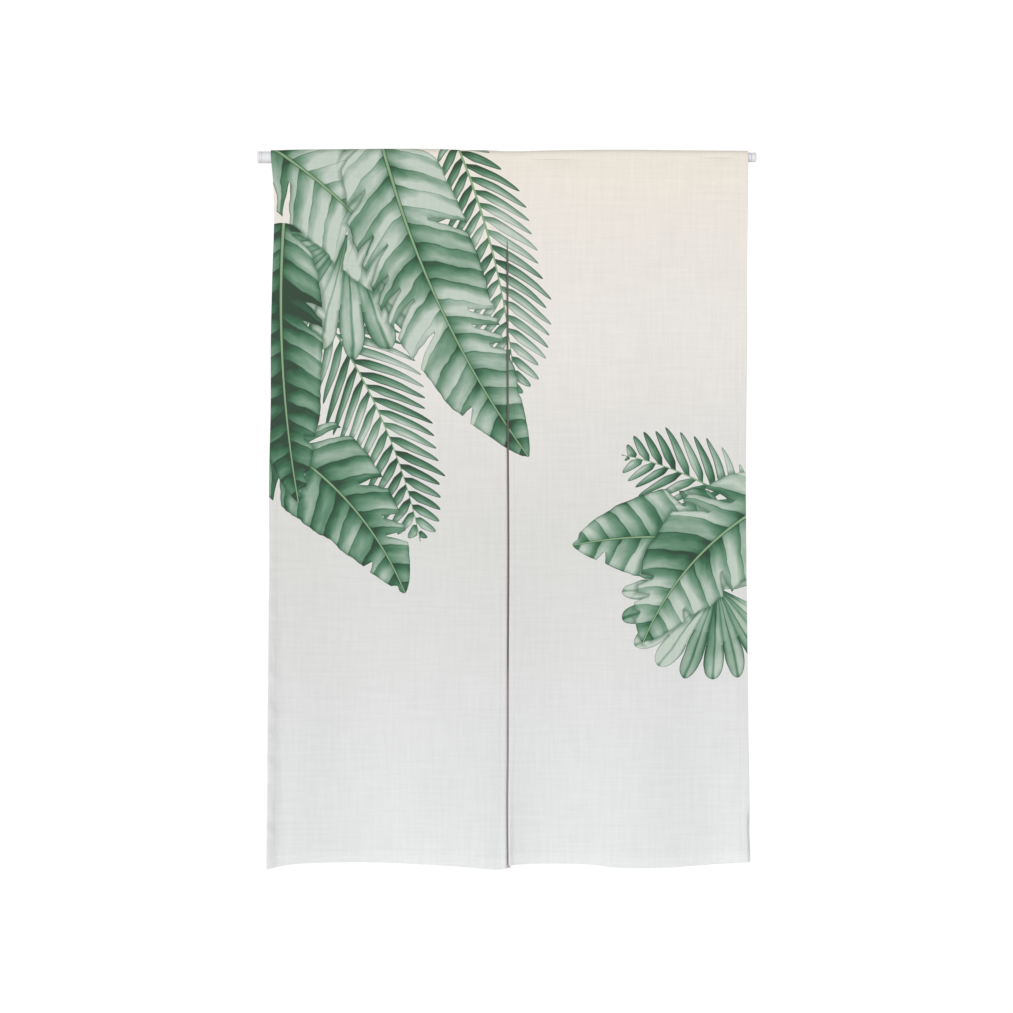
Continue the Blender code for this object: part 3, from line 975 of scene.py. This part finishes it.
def printed_cloth(cloth, print_look):
    """Slubby plain weave, dyed from cream at the top to cool grey at the foot, with the leaf print."""
    material, shader = new_material("printed_slub_cloth", 0.92)
    tree = material.node_tree
    shader.inputs["Specular IOR Level"].default_value = 0.15
    shader.inputs["Sheen Weight"].default_value = 0.02
    x, z, outward = stored(tree, "cloth_place")
    bottom, inner, _ = stored(tree, "cloth_hem_and_slit_shade")

    down = (z + 1.2) / 1.25
    cloudy = noise(point(x, z, 0.0), 5, 2) - 0.5
    colour = colour_ramp(
        clamped(down + cloudy * 0.10),
        (
            (0.00, cloth.foot_colour),
            (0.20, cloth.low_colour),
            (0.45, cloth.middle_colour),
            (0.72, cloth.high_colour),
            (0.90, cloth.upper_colour),
            (1.00, cloth.top_colour),
        ),
    )
    paint, leafed = colour, 0.0
    for kind in LAYER_ORDER:
        base = kind.split()[0]
        group = bpy.data.node_groups.get(base + " leaf") or leaf_group(base, print_look)
        along, off_axis, on_leaf = stored(tree, kind.replace(" ", "_") + "_place")
        length, half_width, tone = stored(tree, kind.replace(" ", "_") + "_size")
        leaf = tree.nodes.new("ShaderNodeGroup")
        leaf.node_tree = group
        for slot, value in zip(leaf.inputs, (along, off_axis, length, half_width, tone)):
            feed(slot, value)
        inside, on_leaf = Field(leaf.outputs[0]), ramp_up(on_leaf, 0.998, 0.999)
        beside = ramp_up(inside, -print_look.shade_reach, 0.0) * on_leaf * leafed
        paint = mixed(beside * print_look.overlap_shade, paint, print_look.deep)
        mask = ramp_up(inside, -0.3 * MM, 0.3 * MM) * on_leaf
        paint = mixed(mask, paint, Field(leaf.outputs[1]))
        leafed = highest(leafed, mask)
    shown = print_look.bleed + outward * (print_look.cover - print_look.bleed)
    colour = mixed(shown, colour, paint)

    # Painted shade: the slit's turned edges and the lip behind them are coloured dark in place of the shade
    # in the narrow groove, lighter low down where more light falls
    slit = mixed(ramp_up(z, -820 * MM, -910 * MM), tuple(cloth.slit_painted_shade_colour), tuple(cloth.low_slit_painted_shade_colour))
    colour = mixed(inner * outward, colour, slit)
    weft = noise(point(x * 0.06, z, 3.0), 205, 2, 0.6) - 0.5
    warp = noise(point(x, z * 0.06, 7.0), 195, 2, 0.6) - 0.5
    mottle = noise(point(x, z, 11.0), 60, 2) - 0.5
    slub = weft + warp
    shade = 1.0 + slub * cloth.slub_contrast + mottle * 0.02 + bottom * cloth.hem_brightness
    shade = point(shade, shade, shade)
    shaded = mixed(1.0, colour, shade, "MULTIPLY")
    feed(shader.inputs["Base Color"], shaded)
    turns = 2 * math.pi / cloth.thread_pitch
    over_under = calculate("SINE", x * turns) * calculate("SINE", z * turns)
    add_bump(shader, over_under * 0.5 + slub, 0.18 * MM, 0.6)
    return material


def painted_metal(name, colour, roughness):
    """White painted tube with a faint drawn grain along it."""
    material, shader = new_material(name, roughness)
    tree = material.node_tree
    place = tree.nodes.new("ShaderNodeTexCoord")
    split = tree.nodes.new("ShaderNodeSeparateXYZ")
    tree.links.new(place.outputs["Object"], split.inputs[0])
    x, y, z = [Field(socket) for socket in split.outputs]
    grain = noise(point(x * 0.1, y, z), 900, 2)
    patch = noise(point(x, y, z), 40, 3)
    feed(shader.inputs["Base Color"], mixed(patch * 0.25, tuple(colour), tuple(c * 0.93 for c in colour)))
    feed(shader.inputs["Roughness"], roughness + (patch - 0.5) * 0.12)
    add_bump(shader, grain, 0.04 * MM, 0.4)
    return material


def moulded_plastic(name, colour, roughness):
    """Matt moulded plastic with a fine even grain."""
    material, shader = new_material(name, roughness)
    tree = material.node_tree
    place = tree.nodes.new("ShaderNodeTexCoord")
    where = Field(place.outputs["Object"])
    grain = noise(where, 2200, 2)
    patch = noise(where, 90, 2)
    feed(shader.inputs["Base Color"], mixed(patch * 0.3, tuple(colour), tuple(c * 0.94 for c in colour)))
    add_bump(shader, grain, 0.05 * MM, 0.5)
    return material


def turned_mesh(name, profile, sides):
    """A closed solid turned round the rod's axis, from a profile of (distance along the rod, radius)."""
    looped = profile[0] == profile[-1]
    profile = profile[:-1] if looped else profile
    angles = np.linspace(0, 2 * math.pi, sides, endpoint=False)
    along, radius = np.array(profile, float).T
    ring_y, ring_z = np.cos(angles), np.sin(angles)
    points = np.stack(
        [
            np.repeat(along[:, None], sides, 1),
            radius[:, None] * ring_y,
            radius[:, None] * ring_z,
        ],
        -1,
    )
    number = np.arange(points[..., 0].size).reshape(len(along), sides)
    closed = np.concatenate([number, number[:, :1]], axis=1)
    closed = np.concatenate([closed, closed[:1]]) if looped else closed
    mesh = bpy.data.meshes.new(name)
    mesh.from_pydata(points.reshape(-1, 3).tolist(), [], grid_faces(closed).reshape(-1, 4).tolist())
    mesh.validate()
    return mesh


def tube_profile(start, end, radius, wall, rim):
    """A tube's section as one closed loop: outer rims rounded, inner rims bevelled."""
    bore = radius - wall
    turns = [k / RIM_STEPS * math.pi / 2 for k in range(RIM_STEPS + 1)]
    rise = [(rim * (1 - math.cos(turn)), radius - rim * (1 - math.sin(turn))) for turn in turns]
    # A ring a little past each rim keeps the barrel straight in the shading
    rise.append((3 * rim, radius))
    loop = [(end - rim, bore), (start + rim, bore), (start, bore + rim)]
    loop += [(start + inward, r) for inward, r in rise]
    loop += [(end - inward, r) for inward, r in reversed(rise)]
    loop += [(end, bore + rim), (end - rim, bore)]
    return loop[::-1]


def cap_profile(end_x, inward, radius, bore, rounding, dish):
    """An end plug: a dished face, a rounded rim, a barrel with one fine groove, and a stem."""
    stem, head = bore - FIT_GAP, CAP_HEAD
    outline = [(dish, 0.05 * MM), (dish, radius * 0.55), (dish * 0.3, radius * 0.63)]
    outline += [(0, radius * 0.70), (0, radius - rounding)]
    for k in range(1, 8):
        angle = k / 7 * math.pi / 2
        outline.append((rounding * (1 - math.cos(angle)), radius - rounding * (1 - math.sin(angle))))
    outline += [(head * 0.62, radius), (head * 0.66, radius * 0.975), (head * 0.72, radius * 0.975)]
    outline += [(head * 0.76, radius), (head - 0.3 * MM, radius), (head, radius - 0.3 * MM), (head, stem)]
    foot = head + CAP_STEM
    outline += [(foot - 1 * MM, stem), (foot, stem - 1 * MM), (foot, 0.05 * MM)]
    points = [(end_x + inward * along, r) for along, r in outline]
    return points[::-1] if inward > 0 else points


def colour_setting(name, description, default):
    return FloatVectorProperty(
        name=name, description=description, subtype="COLOR", default=default
    )


def length_setting(name, description, default):
    return FloatProperty(name=name, description=description, unit="LENGTH", default=default)


class NorenClothSettings(bpy.types.PropertyGroup):
    """Sizes and colours of the cloth."""

    thickness: length_setting("Thickness", "Thickness of one layer of the cloth", 0.8 * MM)
    hem_thickness: length_setting(
        "Hem Thickness", "Thickness of the folded and sewn hems", 1.9 * MM
    )
    edge_rounding: length_setting(
        "Edge Rounding", "How far from a free edge the cloth rounds off", 0.8 * MM
    )
    # How far the slit's painted shade reaches in from the turned edge
    slit_shade_width: length_setting(
        "Turned Edge", "Width of the dark turned edge inside the slit", 0.5 * MM
    )
    stitch_trough: length_setting(
        "Stitch Trough", "How deep the stitches pull the cloth in", 0.28 * MM
    )
    thread_pitch: length_setting(
        "Thread Pitch", "Length of one over and under of the weave", 1.7 * MM
    )
    slub_contrast: FloatProperty(
        name="Slub Contrast",
        description="How much the thick and thin threads vary in shade",
        default=0.11,
    )
    hem_brightness: FloatProperty(
        name="Hem Brightness",
        description="How much brighter the layers of the bottom hem look",
        default=0.03,
    )
    # Painted shade: the two slit colours below darken the turned edges inside the slit in place of the
    # groove's shade, lighter in the lower third where more light falls
    slit_painted_shade_colour: colour_setting(
        "Slit Colour", "Colour of the overlocked edges inside the slit", (0.42, 0.37, 0.36)
    )
    low_slit_painted_shade_colour: colour_setting(
        "Low Slit Colour",
        "Colour of those edges in the lower third, where more light falls on them",
        (0.66, 0.59, 0.58),
    )
    top_colour: colour_setting("Top Colour", "Colour at the rod", (0.85, 0.79, 0.685))
    upper_colour: colour_setting("Upper Colour", "Colour above the slit", (0.83, 0.785, 0.72))
    high_colour: colour_setting(
        "High Colour", "Colour a third of the way down", (0.808, 0.780, 0.744)
    )
    middle_colour: colour_setting("Middle Colour", "Colour half way down", (0.712, 0.710, 0.690))
    low_colour: colour_setting("Low Colour", "Colour above the hem", (0.754, 0.760, 0.757))
    foot_colour: colour_setting("Foot Colour", "Colour at the hem", (0.805, 0.824, 0.822))


class NorenPrintSettings(bpy.types.PropertyGroup):
    """Colours and details of the leaf print."""

    deepest: colour_setting("Deepest Green", "Pools of the wash", (0.011, 0.048, 0.023))
    deep: colour_setting("Deep Green", "Dark parts of the leaves", (0.027, 0.136, 0.061))
    middle: colour_setting("Middle Green", "Middle of the wash", (0.128, 0.268, 0.170))
    soft: colour_setting("Soft Green", "Thin parts of the wash", (0.31, 0.43, 0.34))
    pale: colour_setting("Pale Green", "Almost bare cloth within a leaf", (0.54, 0.62, 0.54))
    stem: colour_setting("Stem Green", "Midribs and stems", (0.238, 0.392, 0.212))
    rim: colour_setting("Rim", "The fine dark line round a leaf", (0.03, 0.055, 0.04))
    vein_pitch: length_setting(
        "Vein Pitch", "Distance between the side veins of a paddle leaf", 34 * MM
    )
    rib_width: length_setting(
        "Midrib Width", "Half width of a paddle leaf's midrib at its foot", 2.4 * MM
    )
    leaflet_pitch: length_setting(
        "Leaflet Pitch", "Distance between the leaflets of a feather leaf", 24 * MM
    )
    pleat_degrees: FloatProperty(
        name="Pleat Angle",
        description="Angle of one finger of a fan leaf, in degrees",
        default=17.0,
    )
    wash_middle: FloatProperty(
        name="Wash Middle",
        description="The tone that the wash swings round",
        default=0.64,
    )
    wash_contrast: FloatProperty(
        name="Wash Contrast",
        description="How far the wash swings between its pools and its thin parts",
        default=1.62,
    )
    shade_reach: length_setting(
        "Shade Reach", "How far a leaf shades the leaves under it, past its outline", 10 * MM
    )
    overlap_shade: FloatProperty(
        name="Overlap Shade",
        description="How dark a leaf shades the leaves under it",
        default=0.6,
        subtype="FACTOR",
    )
    cover: FloatProperty(
        name="Cover",
        description="How far the print covers the front",
        default=0.96,
        subtype="FACTOR",
    )
    bleed: FloatProperty(
        name="Bleed",
        description="How far the print shows through on the back",
        default=0.42,
        subtype="FACTOR",
    )


class NorenStitchingSettings(bpy.types.PropertyGroup):
    """Sizes of the machine stitches."""

    length: length_setting(
        "Stitch Length", "Length of the thread that shows in one stitch", 3.1 * MM
    )
    pitch: length_setting("Stitch Pitch", "Distance from one stitch to the next", 3.6 * MM)
    thread: length_setting("Thread", "Thickness of the thread", 0.36 * MM)
    thread_sides: IntProperty(
        name="Thread Sides",
        description="Sides of the thread's section",
        default=5,
        min=3,
    )


class NorenRodSettings(bpy.types.PropertyGroup):
    """Colours and finish of the rod."""

    outer_colour: colour_setting("Outer Tube", "Colour of the outer tube", (0.84, 0.84, 0.86))
    inner_colour: colour_setting("Inner Tube", "Colour of the inner tube", (0.80, 0.79, 0.86))
    cap_colour: colour_setting("End Caps", "Colour of the end caps", (0.82, 0.82, 0.84))
    sides: IntProperty(
        name="Sides",
        description="Sides of the turned pieces",
        default=96,
        min=24,
    )


class NorenStageSettings(bpy.types.PropertyGroup):
    """Camera, floor and light."""

    frame_width: length_setting(
        "Frame Width", "Width of the picture in the curtain's plane", 1.6968
    )
    camera_distance: length_setting(
        "Camera Distance", "Distance from the camera to the curtain", 4.2
    )
    look_x: length_setting("Middle X", "Where along the rod the picture's middle is", 417.1 * MM)
    look_z: length_setting("Middle Z", "Height of the picture's middle", -584.9 * MM)
    floor_z: length_setting("Floor Height", "Height of the floor under the curtain", -1.72)
    floor_colour: colour_setting("Floor Colour", "Colour of the plain floor", (0.90, 0.90, 0.90))
    soft_light: FloatProperty(
        name="Soft Light",
        description="Strength of the light from all round",
        default=0.858,
    )
    back_light: FloatProperty(
        name="Back Light",
        description="Strength of the soft light from above and behind, which falls on the floor",
        default=3.0,
    )
    side_light: FloatProperty(
        name="Side Light",
        description="Strength of the broad light from the front left",
        default=1.22,
    )


class NOREN_OT_hang_cloth(bpy.types.Operator):
    """Hangs the hemmed and printed cloth over the rod"""

    bl_idname = "noren.hang_cloth"
    bl_label = "Hang Cloth"

    def execute(self, context):
        scene = context.scene
        hung = HungCloth(scene.noren_cloth)
        material = printed_cloth(scene.noren_cloth, scene.noren_print)
        sheet = link(cloth_mesh(hung), "noren_cloth_sheet", material)
        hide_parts("noren_cloth")
        return {"FINISHED"}


class NOREN_OT_sew_stitching(bpy.types.Operator):
    """Sews the pocket's seam and the hems"""

    bl_idname = "noren.sew_stitching"
    bl_label = "Sew Stitching"

    def execute(self, context):
        scene = context.scene
        hung = HungCloth(scene.noren_cloth)
        sheet = bpy.data.objects.get("noren_cloth_sheet")
        if sheet is None:
            raise RuntimeError("the cloth has to hang before it is sewn")
        material = sheet.data.materials[0]
        stitches = link(stitch_mesh(hung, scene.noren_stitching), "noren_stitching", material)
        return {"FINISHED"}


class NOREN_OT_fit_rod(bpy.types.Operator):
    """Fits the two tubes and the two end caps of the tension rod"""

    bl_idname = "noren.fit_rod"
    bl_label = "Fit Rod"

    def execute(self, context):
        rod = context.scene.noren_rod
        outer = painted_metal("white_painted_outer_tube", rod.outer_colour, 0.42)
        inner = painted_metal("white_painted_inner_tube", rod.inner_colour, 0.36)
        caps = moulded_plastic("matt_white_cap", rod.cap_colour, 0.58)
        tube_start, tube_end = CAP_HEAD + FIT_GAP, ROD_LENGTH - CAP_HEAD - FIT_GAP
        outer_bore, inner_bore = OUTER_RADIUS - OUTER_WALL, INNER_RADIUS - INNER_WALL
        pieces = (
            # node, profile, material, slot
            (
                "rod_outer_tube",
                tube_profile(tube_start, OUTER_END_X, OUTER_RADIUS, OUTER_WALL, 0.5 * MM),
                outer,
                "outer_tube",
            ),
            (
                "rod_inner_tube",
                tube_profile(INNER_START_X, tube_end, INNER_RADIUS, INNER_WALL, 0.4 * MM),
                inner,
                "inner_tube",
            ),
            (
                "rod_cap_left",
                cap_profile(0, 1, OUTER_RADIUS, outer_bore, 2.2 * MM, 0.6 * MM),
                caps,
                "end_caps",
            ),
            (
                "rod_cap_right",
                cap_profile(ROD_LENGTH, -1, INNER_RADIUS, inner_bore, 2.2 * MM, 0.5 * MM),
                caps,
                "end_caps",
            ),
        )
        for node, profile, material, slot in pieces:
            mesh = turned_mesh(node + "_finish", profile, rod.sides)
            piece = link(mesh, node + "_finish", material)
            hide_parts(node)
        return {"FINISHED"}


class NOREN_OT_set_stage(bpy.types.Operator):
    """Sets the camera, the pale floor and the soft light"""

    bl_idname = "noren.set_stage"
    bl_label = "Set Stage"

    def execute(self, context):
        stage = context.scene.noren_stage
        set_camera(stage)
        set_floor(stage)
        set_light(stage)
        return {"FINISHED"}


def set_camera(stage):
    """A level camera in front of the curtain, far back, framed as wide as the picture."""
    lens = bpy.data.cameras.new("front_camera")
    lens.sensor_width = 36
    lens.lens = lens.sensor_width * stage.camera_distance / stage.frame_width
    camera = bpy.data.objects.new("front_camera", lens)
    camera.location = (stage.look_x, -stage.camera_distance, stage.look_z)
    camera.rotation_euler = (math.pi / 2, 0, 0)
    bpy.context.scene.collection.objects.link(camera)
    bpy.context.scene.camera = camera


def set_floor(stage):
    """A plain floor under the curtain, short enough to stay below the front camera's picture."""
    bpy.ops.mesh.primitive_plane_add(size=2.2, location=(stage.look_x, 0, stage.floor_z))
    floor = bpy.context.object
    floor.name = "floor"
    material, shader = new_material("pale_floor", 0.8)
    place = material.node_tree.nodes.new("ShaderNodeTexCoord")
    patch = noise(Field(place.outputs["Object"]), 3, 3)
    colour = tuple(stage.floor_colour)
    feed(shader.inputs["Base Color"], mixed(patch, colour, tuple(c * 0.97 for c in colour)))
    floor.data.materials.append(material)


def set_light(stage):
    """White all round, softest from the front's top, and one broad light from the front left."""
    world = bpy.data.worlds.new("white_studio")
    world.use_nodes = True
    tree = world.node_tree
    background = tree.nodes["Background"]
    background.inputs["Color"].default_value = (1, 1, 1, 1)
    place = tree.nodes.new("ShaderNodeTexCoord")
    split = tree.nodes.new("ShaderNodeSeparateXYZ")
    tree.links.new(place.outputs["Generated"], split.inputs[0])
    back, up = Field(split.outputs[1]), Field(split.outputs[2])
    above = highest(up, 0.0)
    light = 1.24 - 0.78 * abs(up) - 0.40 * above + stage.back_light * ramp_up(back, 0.25, 0.9) * above
    light = stage.soft_light * light
    seen = Field(tree.nodes.new("ShaderNodeLightPath").outputs["Is Camera Ray"])
    feed(background.inputs["Strength"], light + seen * (1.02 - light))
    bpy.context.scene.world = world

    sun = bpy.data.lights.new("side_light", "SUN")
    sun.energy = stage.side_light
    sun.angle = math.radians(24)
    lamp = bpy.data.objects.new("side_light", sun)
    lamp.rotation_euler = Vector((-0.62, -0.76, 0.20)).to_track_quat("Z", "Y").to_euler()
    bpy.context.scene.collection.objects.link(lamp)
    bpy.context.scene.view_settings.view_transform = "Standard"


class NOREN_PT_panel(bpy.types.Panel):
    """Lists the noren's pieces and their settings"""

    bl_label = "Noren"
    bl_idname = "NOREN_PT_panel"
    bl_space_type = "VIEW_3D"
    bl_region_type = "UI"
    bl_category = "Noren"

    def draw(self, context):
        for operator, settings in PIECES:
            box = self.layout.box()
            box.operator(operator)
            for group_name in settings:
                group = getattr(context.scene, group_name)
                for name in group.__annotations__:
                    box.prop(group, name)


PIECES = (
    # operator, its settings
    ("noren.fit_rod", ("noren_rod",)),
    ("noren.hang_cloth", ("noren_cloth", "noren_print")),
    ("noren.sew_stitching", ("noren_stitching",)),
    ("noren.set_stage", ("noren_stage",)),
)
SETTINGS = {
    "noren_cloth": NorenClothSettings,
    "noren_print": NorenPrintSettings,
    "noren_stitching": NorenStitchingSettings,
    "noren_rod": NorenRodSettings,
    "noren_stage": NorenStageSettings,
}
CLASSES = (
    *SETTINGS.values(),
    NOREN_OT_fit_rod,
    NOREN_OT_hang_cloth,
    NOREN_OT_sew_stitching,
    NOREN_OT_set_stage,
    NOREN_PT_panel,
)


def register():
    for made in CLASSES:
        bpy.utils.register_class(made)
    for name, group in SETTINGS.items():
        setattr(bpy.types.Scene, name, PointerProperty(type=group))


def unregister():
    for name in SETTINGS:
        delattr(bpy.types.Scene, name)
    for made in reversed(CLASSES):
        bpy.utils.unregister_class(made)


def main():
    register()
    bpy.ops.noren.fit_rod()
    bpy.ops.noren.hang_cloth()
    bpy.ops.noren.sew_stitching()
    bpy.ops.noren.set_stage()


if __name__ == "__main__":
    main()
